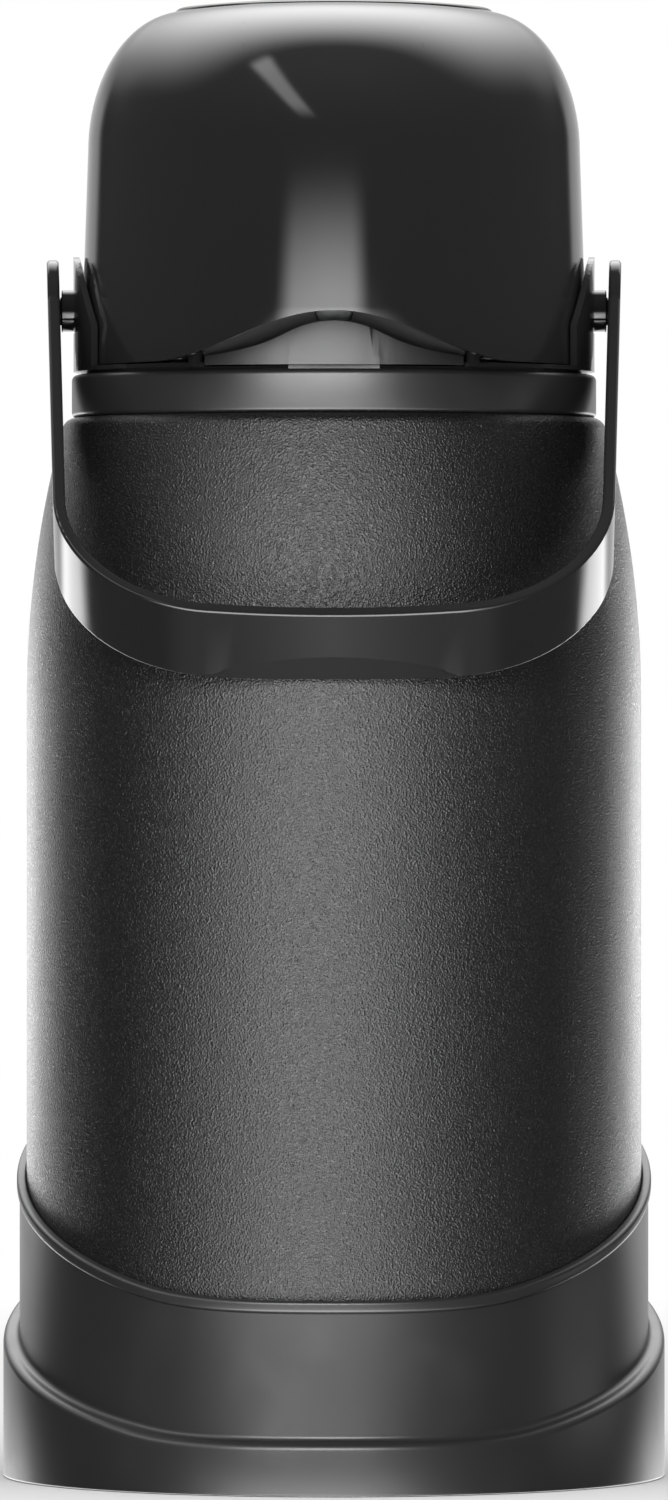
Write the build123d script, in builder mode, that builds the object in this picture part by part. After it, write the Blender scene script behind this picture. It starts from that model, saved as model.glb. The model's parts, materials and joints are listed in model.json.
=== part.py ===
from build123d import *
import os
from math import acos, asin, atan, cos, degrees, pi, radians, sin, sqrt, tan

# A pump carafe with a push button in its hinged head and a swinging bail.
# Millimetres. +Z is up, the front is -Y, and the origin is the middle of the face it stands on.

os.makedirs("parts", exist_ok=True)

# Clearances
slip = 0.1  # radial, between parts that are pushed or screwed together for good
running = 0.1  # radial, between a pin and its hole
free = 0.3  # between parts that move past each other
reach = 130.0  # larger than any half width of the object, for cutting tools
overcut = 5.0  # how far a short cutting tool runs past an edge

# Overall: the sleeve's radius carries the other widths, its top carries the heights above it
sleeve_radius = 75.5
sleeve_top = 259.5

# Base cup
skirt_width = 4.0  # of the step between the tiers
skirt_wall = 2.4
skirt_shoulder = 1.8
skirt_root = 1.5  # hollow round where the upper tier meets the step
tier_wall = 1.6
rim_front = 46.4  # height of the rim in front
rim_back = 102.4
rim_lip = 0.7
rim_lip_height = 2.4
step_front = 12.7  # height of the step in front
step_back = 57.7
slope_inset = 5.5  # the rim and the step bend to level this far inside the sleeve's front and back
slope_bend = 45.0
floor_underside = 4.0
floor_thickness = 3.0
plug_bore = 36.0
bore_wall = 3.0
bore_top = 15.0
underside_ribs = 12
underside_rib_width = 2.0
underside_rib_bottom = 1.0
underside_rib_gap = 1.0  # from each end of a rib to the walls

# Plug and cushion under the flask
plug_bottom = 1.6
plug_flange_width = 5.5
plug_top = 14.0
plug_skin = 2.5
plug_grip_width = 7.0
cushion_radius = 32.0
cushion_bore = 17.0
cushion_lip = 3.0

# Painted sleeve
sleeve_wall = 0.8
sleeve_draw = 9.5  # how far it is drawn in at the top
sleeve_curve = 69.5  # height of the drawn part
sleeve_roll = 2.5
sleeve_flange = 9.0

# Vacuum flask: two glass bulbs that meet at the rim
glass = 1.5
flask_gap = 9.5  # from the sleeve's outside to the outer bulb
vacuum_gap = 7.5
vacuum_floor = 10.0
outer_bulb_bottom = 20.0
outer_bulb_dome = 26.0
inner_bulb_dome = 22.0
inner_bulb_neck = 21.5
neck_gap = 3.5
bulb_shoulder_drop = 46.5
outer_shoulder_rise = 36.5
inner_shoulder_rise = 32.0
bulb_neck_bend = 4.0
bulb_rim_drop = 5.5
bulb_rim_height = 2.5
gasket_height = 2.5
gasket_overhang = 1.5
gasket_chamfer = 0.4

# Collar ring and the insert that clamps it on the sleeve
shoulder_ledge = 3.8  # from the sleeve's drawn radius in to the neck
ring_wall = 2.1
ring_height = 10.5
ring_flange = 2.0
ring_flange_width = 4.2
ring_top_round = 1.5
ring_bottom_round = 1.2
insert_thickness = 3.0
insert_inset = 1.2
insert_gap = 1.5
boss_inset = 12.2
boss_radius = 5.0

# Neck housing: deck, wall, mouth tube, ears, posts and hinge lugs. Heights are above the lip's underside
neck_wall = 2.5
deck_thickness = 2.5
lip_gap = 0.7
lip_thickness = 1.0
ear_stand = 1.8
ear_thickness = 1.4
ear_rise = 28.3
ear_bell_front = [(-24.5, 10.9), (-17.0, 19.8), (-8.0, 26.6)]
ear_bell_back = [(8.0, 26.6), (17.0, 19.8), (24.5, 10.9), (34.0, 4.3), (47.0, 1.0)]
mouth_step = 2.5
mouth_wall = 3.5
mouth_drop = 1.7
post_x = 33.4
post_radius = 1.9
post_height = 6.3
screw_spots = 45.0  # degrees, the first of four screws
screw_radius = 1.9
screw_length = 12.0
screw_head_radius = 3.6
screw_head_height = 2.0
screw_slot_width = 0.9

# Hinge of the head
hinge_offset = 5.3
hinge_rise = 6.3
barrel_radius = 4.5
hinge_pin_radius = 2.0
lug_inside = 13.5
lug_width = 7.0
lug_slope = 55.0  # degrees
hinge_arm = 14.5
pin_overhang = 0.5
pin_chamfer = 0.4

# Bail and its pivots
pivot_rise = 15.0
pivot_radius = 5.25
pivot_stand = 2.9
stem_radius = 3.4
stem_length = 2.5
pivot_chamfer = 0.4
bail_rest_gap = 0.74  # from the sleeve to the grip that rests in front of it
bail_thickness = 3.0
bail_gap = 0.42  # at the pivots
bail_clearance = 24.8  # the pivots' distance to the inside of the grip, less the beak's length
bail_grip_radius = 300.0
bail_corner_radius = 38.5
bail_lean = 2.0  # degrees that the arms lean in towards the grip
bail_arm_half_width = 10.6
bail_grip_half_width = 11.2
bail_eye_radius = 12.6
bail_taper_start = 0.6  # shares of the drop between which the arms widen to the grip
bail_taper_end = 0.8
bail_edge_round = 0.9
scoop_depth = 1.1  # of the hollow under the fingertips, at the rear edge of the grip
scoop_width = 8.4
scoop_radius = 716.0  # along the grip

# Dip tube and its holder
tube_radius = 4.9
tube_wall = 1.3
tube_foot_gap = 10.0
holder_flange = 1.5
holder_depth = 3.0
holder_inset = 1.0
holder_spokes = 3
spoke_turn = 60.0
spoke_root = 1.0
spoke_width = 3.0
hub_wall = 2.2
hub_stand = 2.0
tube_collar_width = 1.5
tube_collar_height = 0.8
tube_seal_height = 1.2

# Hood of the head. Heights are above its lower edge
hood_wall = 2.2
hood_wall_height = 53.0
hood_corner_height = 34.0
hood_draw = 1.8
crown_inset = 2.1  # the flat top's outline lies this far inside the button's hole
crown_beak = 4.5
beak_length = 23.8
beak_swell = 6.0
beak_angle = 22.0  # degrees from the side where the beak starts to leave the circle
beak_side_pull = 0.36  # how far the outline keeps its first heading, as a share of the beak's length
beak_nose_pull = 0.52  # roundness of the nose, as a share of the half width
arch_rise = 11.2
arch_side = [(16.0, 10.0), (32.0, 3.0), (43.0, 0.0)]
hinge_notch_half = 21.5
hinge_notch_rise = 12.0
hinge_notch_round = 3.0
hood_boss_inset = 9.2
hood_boss_radius = 4.2
hood_boss_rise = 28.0
hood_rib_length = 24.0
hood_screw_radius = 1.5
hood_screw_head_height = 1.0
hood_pilot_radius = 1.6

# Floor of the head
floor_rise = 1.5
floor_plate = 2.8
beak_floor_rise = 14.0
beak_floor_plate = 2.0
beak_floor_inset = 1.0
floor_step_inset = 11.2
keeper_depth = 3.0
keeper_drop = 5.2
keeper_half_width = 9.0
seal_ring_wall = 2.3
seal_chamfer = 0.6

# Pump
pump_deck_rise = 17.0  # above the floor's underside
pump_deck_thickness = 2.5
button_radius = 39.0
button_gap = 0.5
button_stand = 3.0
button_crown = 2.2
button_edge_round = 1.0
button_skin = 3.0
button_skirt = 23.8
button_skirt_wall = 1.8
cup_wall = 2.3
cup_drop = 29.0  # from the hood's top
cup_skirt_inset = 3.0
cup_skirt_wall = 2.0
bellows_inset = 5.0
bellows_fold = 5.0
bellows_wall = 0.8
bellows_folds = 5
spring_radius = 14.0
spring_wire = 1.8
spring_turns = 5
wire_sides = 6
air_port_y = 18.0
air_port_radius = 4.0
flap_radius = 7.0
flap_thickness = 1.0

# Outlet
pipe_radius = 4.4
pipe_bore = 3.1
pipe_low_rise = 11.1
pipe_climb = 18.4
pipe_climb_start = 23.0  # behind the spout
pipe_climb_end = 11.0
pipe_bend = 6.5
spout_inset = 7.0
pipe_end_drop = 10.0
pipe_flange_height = 1.4
nozzle_hang = 1.4
nozzle_wall = 1.6
nozzle_mouth = 3.7
nozzle_socket_depth = 4.0
nozzle_taper = 3.0  # degrees

# Release tab. Heights are above the lip's underside
tab_rise = 10.8
tab_end_rise = 2.5
tab_side = [(7.7, 9.5), (15.8, 5.9), (21.8, 4.1)]
tab_travel = 3.0
stem_drop = 5.4
stem_thickness = 1.9
stem_half_width = 11.0
stem_inset = 1.3
nose_length = 3.7
nose_rise = 1.0
tab_spring_radius = 2.4
tab_spring_wire = 0.7
tab_spring_turns = 4
tab_spring_rise = 2.2

# Widths that follow from the sizes above
tier_radius = sleeve_radius + slip + tier_wall
skirt_radius = tier_radius + skirt_width
slope_run = sleeve_radius - slope_inset
flange_radius = plug_bore + plug_flange_width
sleeve_top_radius = sleeve_radius - sleeve_draw
sleeve_mouth = sleeve_top_radius - sleeve_flange
outer_bulb_radius = sleeve_radius - flask_gap
inner_bulb_radius = outer_bulb_radius - vacuum_gap
outer_bulb_neck = inner_bulb_neck + neck_gap
gasket_radius = outer_bulb_neck + gasket_overhang
mouth_bore = inner_bulb_neck + mouth_step
mouth_outside = mouth_bore + mouth_wall
neck_radius = sleeve_top_radius - shoulder_ledge
ring_bore = neck_radius + slip
ring_radius = ring_bore + ring_wall
ring_flange_radius = neck_radius - ring_flange_width
insert_radius = neck_radius - insert_inset
insert_bore = mouth_outside + insert_gap
boss_circle = neck_radius - boss_inset
ear_radius = neck_radius + ear_stand
ear_inside = ear_radius - ear_thickness
hinge_y = neck_radius + hinge_offset
hinge_arm_start = hinge_y - hinge_arm
pivot_end = ear_radius + pivot_stand
stem_end = pivot_end + stem_length
hub_radius = tube_radius + slip + hub_wall
tube_collar_radius = tube_radius + tube_collar_width
cup_bore = button_radius + button_gap
cup_skirt_radius = button_radius - cup_skirt_inset
bellows_radius = button_radius - bellows_inset
hood_radius = neck_radius
hood_corner_radius = hood_radius - hood_draw
crown_radius = cup_bore - crown_inset
crown_beak_end = cup_bore + crown_beak
beak_bottom = hood_radius + beak_length
beak_full = beak_bottom + beak_swell
hood_boss_circle = max(neck_radius - hood_boss_inset, cup_bore + cup_wall + free + hood_boss_radius)
floor_step_y = neck_radius - floor_step_inset
keeper_y = floor_step_y - keeper_depth
spout_y = beak_bottom - spout_inset
bail_drop = beak_full + bail_clearance
tab_half_width = post_x - post_radius - free
stem_front = neck_radius - stem_inset
nose_front = keeper_y - free
nose_back = nose_front - nose_length

# Heights that follow from the sizes above
floor_top = floor_underside + floor_thickness
sleeve_straight_top = sleeve_top - sleeve_curve
inner_bulb_bottom = outer_bulb_bottom + vacuum_floor
bulb_shoulder_start = sleeve_top - bulb_shoulder_drop
bulb_rim_bottom = sleeve_top - bulb_rim_drop
bulb_rim_top = bulb_rim_bottom + bulb_rim_height
gasket_top = bulb_rim_top + gasket_height
insert_top = sleeve_top - sleeve_wall
deck_bottom = sleeve_top + ring_flange
deck_top = deck_bottom + deck_thickness
lip_bottom = sleeve_top + ring_height + lip_gap
lip_top = lip_bottom + lip_thickness
ear_tip = lip_bottom + ear_rise
mouth_rim = lip_bottom - mouth_drop
post_top = lip_bottom + post_height
hinge_z = lip_bottom + hinge_rise
pivot_z = lip_bottom + pivot_rise
holder_top = mouth_rim + holder_flange
hub_top = mouth_rim + hub_stand
collar_top = hub_top + tube_collar_height
tube_seal_top = collar_top + tube_seal_height
tube_bottom = inner_bulb_bottom + tube_foot_gap
pipe_foot = tube_seal_top + slip
hood_bottom = lip_top + free
hood_corner_z = hood_bottom + hood_wall_height
hood_top = hood_corner_z + hood_corner_height
hinge_notch_top = hood_bottom + hinge_notch_rise
hood_boss_top = hood_bottom + hood_boss_rise
floor_bottom = hood_bottom + floor_rise
floor_plate_top = floor_bottom + floor_plate
beak_floor_z = hood_bottom + beak_floor_rise
keeper_bottom = floor_bottom - keeper_drop
deck_z = floor_bottom + pump_deck_rise
pump_deck_top = deck_z + pump_deck_thickness
cup_top = hood_top - cup_drop
button_top = hood_top + button_stand
button_edge = button_top - button_crown
button_underside = button_edge - button_skin
button_skirt_bottom = button_edge - button_skirt
pipe_low_z = floor_bottom + pipe_low_rise
pipe_high_z = pipe_low_z + pipe_climb
pipe_end_z = pipe_high_z - pipe_end_drop
nozzle_bottom = beak_floor_z - nozzle_hang
tab_bottom = lip_bottom + free
stem_bottom = tab_bottom - stem_drop
nose_top = tab_bottom + nose_rise
tab_spring_z = stem_bottom + tab_spring_rise


# The space above a surface that climbs from front to back, with a bend at each end of the climb
def above_slope(front, back):
    with BuildPart() as space:
        with BuildSketch(Plane.YZ):
            with BuildLine():
                FilletPolyline(
                    (-reach, front), (-slope_run, front), (slope_run, back), (reach, back), radius=slope_bend
                )
                Polyline((reach, back), (reach, 2 * reach), (-reach, 2 * reach), (-reach, front))
            make_face()
        extrude(amount=reach, both=True)
    return space.part


# Writes one finished piece under its name
def keep(part, name):
    part.label = name
    export_step(part, f"parts/{name}.step")


# True for an edge that runs round the upper tier's wall below the rim
def on_tier(edge):
    middle = edge @ 0.5
    on_wall = abs(Vector(middle.X, middle.Y).length - tier_radius) < 0.01
    return on_wall and edge.length > tier_radius / 4 and edge.bounding_box().min.Z < rim_front - rim_lip_height


# Base cup: two tiers, the upper one a thin wall round the sleeve, ribbed underneath
above_step = above_slope(step_front, step_back)
above_rim = above_slope(rim_front, rim_back)
above_lip = above_slope(rim_front - rim_lip_height, rim_back - rim_lip_height)
above_slot = above_slope(step_front - skirt_wall, step_back - skirt_wall)

with BuildPart() as skirt_slot:
    with BuildSketch():
        Circle(skirt_radius - skirt_wall)
        Circle(tier_radius, mode=Mode.SUBTRACT)
    extrude(amount=reach)
    add(above_slot, mode=Mode.SUBTRACT)

with BuildPart() as rim_band:
    with BuildSketch():
        Circle(tier_radius + rim_lip)
    extrude(amount=reach)
    add(above_rim, mode=Mode.SUBTRACT)
    add(above_lip, mode=Mode.INTERSECT)

with BuildPart() as base_cup:
    with BuildSketch():
        Circle(skirt_radius)
    extrude(amount=reach)
    add(above_step, mode=Mode.SUBTRACT)
    shoulder = base_cup.edges().filter_by(lambda e: e.bounding_box().min.Z > step_front / 2)
    fillet(shoulder.filter_by(GeomType.LINE, reverse=True), skirt_shoulder)
    with BuildSketch():
        Circle(tier_radius)
    extrude(amount=reach)
    add(above_rim, mode=Mode.SUBTRACT)
    fillet(base_cup.edges().filter_by(on_tier), skirt_root)
    add(rim_band.part)
    with BuildSketch(Plane.XY.offset(floor_top)):
        Circle(sleeve_radius + slip)
    extrude(amount=reach, mode=Mode.SUBTRACT)
    add(skirt_slot.part, mode=Mode.SUBTRACT)
    with BuildSketch():
        Circle(tier_radius - skirt_wall)
    extrude(amount=floor_underside, mode=Mode.SUBTRACT)
    with BuildSketch(Plane.XY.offset(floor_underside)):
        with PolarLocations((flange_radius + tier_radius) / 2, underside_ribs):
            Rectangle(tier_radius - flange_radius - 2 * underside_rib_gap, underside_rib_width)
    extrude(amount=underside_rib_bottom - floor_underside)
    with BuildSketch(Plane.XY.offset(floor_top)):
        Circle(plug_bore + bore_wall)
    extrude(amount=bore_top - floor_top)
    with BuildSketch():
        Circle(plug_bore)
    extrude(amount=bore_top, mode=Mode.SUBTRACT)
keep(base_cup.part, "base_cup")

# Base plug: a shallow screw cap, flanged below the floor, with a bar to turn it by
with BuildPart() as base_plug:
    with BuildSketch(Plane.XY.offset(plug_bottom)):
        Circle(flange_radius - slip)
    extrude(amount=floor_underside - plug_bottom)
    with BuildSketch(Plane.XY.offset(floor_underside)):
        Circle(plug_bore - slip)
    extrude(amount=plug_top - floor_underside)
    with BuildSketch(Plane.XY.offset(plug_bottom)):
        Circle(plug_bore - slip - plug_skin)
    extrude(amount=plug_top - plug_skin - plug_bottom, mode=Mode.SUBTRACT)
    with BuildSketch(Plane.XY.offset(plug_bottom)):
        Rectangle(2 * plug_bore - 2 * plug_skin, plug_grip_width)
    extrude(amount=plug_top - plug_skin - plug_bottom)
keep(base_plug.part, "base_plug")

# Flask cushion: a rubber ring dished to the bulb's bottom
cushion_start = -degrees(acos(cushion_bore / (outer_bulb_radius + slip)))
cushion_end = -degrees(acos(cushion_radius / (outer_bulb_radius + slip)))
with BuildPart() as flask_cushion:
    with BuildSketch(Plane.XZ):
        with BuildLine():
            dish = EllipticalCenterArc(
                (0, outer_bulb_bottom + outer_bulb_dome),
                outer_bulb_radius + slip,
                outer_bulb_dome + slip,
                start_angle=cushion_start,
                arc_size=cushion_end - cushion_start,
            )
            Polyline(dish @ 1, (cushion_radius + cushion_lip, plug_top), (cushion_bore, plug_top), dish @ 0)
        make_face()
    revolve(axis=Axis.Z)
keep(flask_cushion.part, "flask_cushion")

# Sleeve: straight below, drawn in on a long arc, and rolled over into a flange at the top
with BuildPart() as body_sleeve:
    with BuildSketch(Plane.XZ):
        with BuildLine():
            Line((0, floor_top), (sleeve_radius, floor_top))
            side = Line((sleeve_radius, floor_top), (sleeve_radius, sleeve_straight_top))
            TangentArc(side @ 1, (sleeve_top_radius, sleeve_top), tangent=(0, 1))
            Polyline((sleeve_top_radius, sleeve_top), (0, sleeve_top), (0, floor_top))
        make_face()
        corner = vertices().filter_by(lambda v: v.X > sleeve_top_radius - 1 and v.Y > sleeve_top - 1)
        fillet(corner, sleeve_roll)
    revolve(axis=Axis.Z)
    bottom = faces().sort_by(Axis.Z)[0]
    offset(amount=-sleeve_wall, openings=bottom)
    with BuildSketch(Plane.XY.offset(sleeve_top)):
        Circle(sleeve_mouth)
    extrude(amount=-3 * sleeve_wall, mode=Mode.SUBTRACT)
keep(body_sleeve.part, "body_sleeve")


# A bulb's form, drawn in by a wall thickness: domed bottom, straight side, round shoulder and neck
def bulb_form(radius, bottom, dome, neck, rise, inset):
    with BuildPart() as form:
        with BuildSketch(Plane.XZ):
            with BuildLine():
                dome_arc = EllipticalCenterArc(
                    (0, bottom + dome), radius - inset, dome - inset, start_angle=270
                )
                Line(dome_arc @ 1, (radius - inset, bulb_shoulder_start))
                shoulder_arc = EllipticalCenterArc(
                    (neck - inset, bulb_shoulder_start), radius - neck, rise - inset
                )
                Polyline(
                    shoulder_arc @ 1,
                    (neck - inset, bulb_rim_bottom),
                    (0, bulb_rim_bottom),
                    (0, bottom + inset),
                )
            make_face()
            neck_corner = vertices().sort_by_distance((neck - inset, bulb_shoulder_start + rise - inset))[0]
            fillet(neck_corner, bulb_neck_bend)
        revolve(axis=Axis.Z)
    return form.part


outer_bulb = (outer_bulb_radius, outer_bulb_bottom, outer_bulb_dome, outer_bulb_neck, outer_shoulder_rise)
with BuildPart() as flask_outer_bulb:
    add(bulb_form(*outer_bulb, 0))
    add(bulb_form(*outer_bulb, glass), mode=Mode.SUBTRACT)
keep(flask_outer_bulb.part, "flask_outer_bulb")

inner_bulb = (inner_bulb_radius, inner_bulb_bottom, inner_bulb_dome, inner_bulb_neck, inner_shoulder_rise)
with BuildPart() as flask_inner_bulb:
    add(bulb_form(*inner_bulb, 0))
    with BuildSketch(Plane.XY.offset(bulb_rim_bottom)):
        Circle(outer_bulb_neck)
    extrude(amount=bulb_rim_height)
    with BuildSketch(Plane.XY.offset(bulb_rim_bottom)):
        Circle(inner_bulb_neck - glass)
    extrude(amount=bulb_rim_height, mode=Mode.SUBTRACT)
    add(bulb_form(*inner_bulb, glass), mode=Mode.SUBTRACT)
keep(flask_inner_bulb.part, "flask_inner_bulb")

with BuildPart() as flask_gasket:
    with BuildSketch(Plane.XY.offset(bulb_rim_top)):
        Circle(gasket_radius)
        Circle(inner_bulb_neck - glass, mode=Mode.SUBTRACT)
    extrude(amount=gasket_height)
    chamfer(edges().group_by(Axis.Z)[0], gasket_chamfer)
keep(flask_gasket.part, "flask_gasket")

# Collar ring: a band with a flange that the deck clamps on the sleeve
with BuildPart() as collar_ring:
    with BuildSketch(Plane.XY.offset(sleeve_top)):
        Circle(ring_radius)
        Circle(ring_bore, mode=Mode.SUBTRACT)
    extrude(amount=ring_height)
    with BuildSketch(Plane.XY.offset(sleeve_top)):
        Circle(ring_radius - ring_bottom_round)
        Circle(ring_flange_radius, mode=Mode.SUBTRACT)
    extrude(amount=ring_flange)
    rims = edges().filter_by(GeomType.CIRCLE).sort_by(SortBy.LENGTH)
    fillet(rims.filter_by(lambda e: e.radius > ring_radius - 0.01).sort_by(Axis.Z)[-1], ring_top_round)
    fillet(
        edges()
        .filter_by(GeomType.CIRCLE)
        .filter_by(lambda e: e.radius > ring_radius - 0.01 and e.center().Z < sleeve_top + 0.01),
        ring_bottom_round,
    )
keep(collar_ring.part, "collar_ring")

# Shoulder insert: the ring under the sleeve's flange, with bosses for the screws
with BuildPart() as shoulder_insert:
    with BuildSketch(Plane.XY.offset(insert_top)):
        Circle(insert_radius)
        Circle(insert_bore, mode=Mode.SUBTRACT)
    extrude(amount=-insert_thickness)
    with BuildSketch(Plane.XY.offset(insert_top)):
        with PolarLocations(boss_circle, 4, start_angle=screw_spots):
            Circle(boss_radius)
    extrude(amount=deck_bottom - insert_top)
    with BuildSketch(Plane.XY.offset(deck_bottom)):
        with PolarLocations(boss_circle, 4, start_angle=screw_spots):
            Circle(screw_radius + slip)
    extrude(amount=-(deck_bottom - insert_top + insert_thickness), mode=Mode.SUBTRACT)
keep(shoulder_insert.part, "shoulder_insert")

# Ears: two bell-shaped plates on the neck's circle, cut short in front where the beak passes outside them
with BuildPart() as ears:
    with BuildSketch(Plane.XY.offset(lip_top)):
        Circle(ear_radius)
        Circle(ear_inside, mode=Mode.SUBTRACT)
    extrude(amount=ear_rise + overcut)
    with BuildSketch(Plane.YZ):
        with BuildLine():
            front_side = [(y, lip_bottom + rise) for y, rise in ear_bell_front]
            back_side = [(y, lip_bottom + rise) for y, rise in ear_bell_back]
            bell = Spline(*front_side, (0, ear_tip), *back_side)
            Polyline(bell @ 1, ((bell @ 0).X, lip_top), bell @ 0)
        make_face()
    extrude(amount=reach, both=True, mode=Mode.INTERSECT)

# Neck housing
with BuildPart() as neck_housing:
    with BuildSketch(Plane.XZ):
        with BuildLine():
            Polyline(
                (mouth_bore, gasket_top),
                (mouth_outside, gasket_top),
                (mouth_outside, deck_bottom),
                (neck_radius, deck_bottom),
                (neck_radius, lip_bottom),
                (ear_radius, lip_bottom),
                (ear_radius, lip_top),
                (neck_radius - neck_wall, lip_top),
                (neck_radius - neck_wall, deck_top),
                (mouth_outside, deck_top),
                (mouth_outside, mouth_rim),
                (mouth_bore, mouth_rim),
                close=True,
            )
        make_face()
    revolve(axis=Axis.Z)
    add(ears.part)
    # holes for the bail's pivots
    with Locations((0, 0, pivot_z)):
        Cylinder(pivot_radius + slip, 2 * reach, rotation=(0, 90, 0), mode=Mode.SUBTRACT)
    # gap in the lip for the tab, and a slot in the wall for its stem
    with BuildSketch(Plane.XY.offset(lip_bottom)):
        with Locations((0, -neck_radius)):
            Rectangle(2 * (tab_half_width + free), neck_radius)
    extrude(amount=lip_thickness, mode=Mode.SUBTRACT)
    with BuildSketch(Plane.XY.offset(stem_bottom - free)):
        with Locations((0, -neck_radius)):
            Rectangle(2 * (stem_half_width + free), 4 * neck_wall)
    extrude(amount=lip_top - stem_bottom + free, mode=Mode.SUBTRACT)
    # posts beside the tab
    post_y = -sqrt(((ear_radius + ear_inside) / 2) ** 2 - post_x**2)
    with BuildSketch(Plane.XY.offset(lip_bottom)):
        with Locations((post_x, post_y), (-post_x, post_y)):
            Circle(post_radius)
    extrude(amount=post_top - lip_bottom)
    # lugs for the hinge pin
    lug_y = barrel_radius * cos(radians(lug_slope))
    lug_z = barrel_radius * sin(radians(lug_slope))
    for lug_start in (lug_inside, -lug_inside - lug_width):
        with BuildSketch(Plane.YZ.offset(lug_start)):
            with Locations((hinge_y, hinge_z)):
                Circle(barrel_radius)
            with BuildLine():
                Polyline(
                    (neck_radius - 2 * neck_wall, lip_bottom),
                    (hinge_y - lug_y, hinge_z + lug_z),
                    (hinge_y + lug_y, hinge_z - lug_z),
                    (neck_radius, lip_bottom),
                    close=True,
                )
            make_face()
            with Locations((hinge_y, hinge_z)):
                Circle(hinge_pin_radius + slip, mode=Mode.SUBTRACT)
        extrude(amount=lug_width)
    # screw holes in the deck
    with BuildSketch(Plane.XY.offset(deck_bottom)):
        with PolarLocations(boss_circle, 4, start_angle=screw_spots):
            Circle(screw_radius + slip)
    extrude(amount=deck_thickness, mode=Mode.SUBTRACT)
keep(neck_housing.part, "neck_housing")


# Four screws on a circle, seen as one group: pan heads on a face, shanks below or above it
def screw_group(circle, seat, direction, shank, radius, head_radius, head_height):
    with BuildPart() as group:
        with BuildSketch(Plane.XY.offset(seat)):
            with PolarLocations(circle, 4, start_angle=screw_spots):
                Circle(head_radius)
        extrude(amount=-direction * head_height)
        chamfer(edges().group_by(Axis.Z)[0 if direction > 0 else -1], head_height / 3)
        with BuildSketch(Plane.XY.offset(seat)):
            with PolarLocations(circle, 4, start_angle=screw_spots):
                Circle(radius)
        extrude(amount=direction * shank)
        with BuildSketch(Plane.XY.offset(seat - direction * head_height)):
            with PolarLocations(circle, 4, start_angle=screw_spots):
                Rectangle(head_radius, screw_slot_width)
                Rectangle(screw_slot_width, head_radius)
        extrude(amount=direction * head_height / 2, mode=Mode.SUBTRACT)
    return group.part


neck_screws = screw_group(
    boss_circle, deck_top, -1, screw_length, screw_radius, screw_head_radius, screw_head_height
)
keep(neck_screws, "neck_screws")

# Bail pivots: a boss through each ear with a stem for the bail's arm
with BuildPart() as bail_pivots:
    for side in (1, -1):
        with BuildSketch(Plane.YZ.offset(side * (ear_inside + slip))):
            with Locations((0, pivot_z)):
                Circle(pivot_radius)
        extrude(amount=side * (pivot_end - ear_inside - slip))
        with BuildSketch(Plane.YZ.offset(side * pivot_end)):
            with Locations((0, pivot_z)):
                Circle(stem_radius)
        extrude(amount=side * (stem_end - pivot_end))
    chamfer(edges().group_by(Axis.X)[-1] + edges().group_by(Axis.X)[0], pivot_chamfer)
keep(bail_pivots.part, "bail_pivots")

# Tube holder: a ring in the mouth tube, three spokes and a hub
with BuildPart() as tube_holder:
    with BuildSketch(Plane.XY.offset(holder_top)):
        Circle(mouth_outside - holder_inset)
        Circle(inner_bulb_neck - slip, mode=Mode.SUBTRACT)
    extrude(amount=-holder_flange)
    with BuildSketch(Plane.XY.offset(holder_top)):
        Circle(mouth_bore - slip)
        Circle(inner_bulb_neck - slip, mode=Mode.SUBTRACT)
    extrude(amount=-2 * holder_depth)
    with BuildSketch(Plane.XY.offset(holder_top)):
        with PolarLocations(inner_bulb_neck / 2, holder_spokes, start_angle=spoke_turn):
            Rectangle(inner_bulb_neck + spoke_root, spoke_width)
    extrude(amount=-holder_depth)
    with BuildSketch(Plane.XY.offset(hub_top)):
        Circle(hub_radius)
    extrude(amount=holder_top - 2 * holder_depth - hub_top)
    with BuildSketch(Plane.XY.offset(hub_top)):
        Circle(tube_radius + slip)
    extrude(amount=-reach / 4, mode=Mode.SUBTRACT)
keep(tube_holder.part, "tube_holder")

# Dip tube: hangs by its collar on the hub, cut slanting at the bottom
with BuildPart() as dip_tube:
    with BuildSketch(Plane.XY.offset(tube_bottom)):
        Circle(tube_radius)
    extrude(amount=collar_top - tube_bottom)
    with BuildSketch(Plane.XY.offset(hub_top)):
        Circle(tube_collar_radius)
    extrude(amount=tube_collar_height)
    with BuildSketch(Plane.XY.offset(tube_bottom)):
        Circle(tube_radius - tube_wall)
    extrude(amount=collar_top - tube_bottom, mode=Mode.SUBTRACT)
    with BuildSketch(Plane.YZ):
        with BuildLine():
            Polyline(
                (-2 * tube_radius, tube_bottom - overcut),
                (2 * tube_radius, tube_bottom - overcut),
                (2 * tube_radius, tube_bottom + tube_radius),
                close=True,
            )
        make_face()
    extrude(amount=2 * tube_radius, both=True, mode=Mode.SUBTRACT)
keep(dip_tube.part, "dip_tube")

with BuildPart() as tube_seal:
    with BuildSketch(Plane.XY.offset(collar_top)):
        Circle(tube_collar_radius)
        Circle(tube_radius - tube_wall, mode=Mode.SUBTRACT)
    extrude(amount=tube_seal_height)
keep(tube_seal.part, "tube_seal")


# Half width and beak length of the hood's wall at a height
def wall_size(height):
    share = (height - hood_bottom) / (hood_corner_z - hood_bottom)
    width = hood_radius + share * (hood_corner_radius - hood_radius)
    return width, beak_full - (beak_full - beak_bottom) * (1 - share) ** 2


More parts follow.
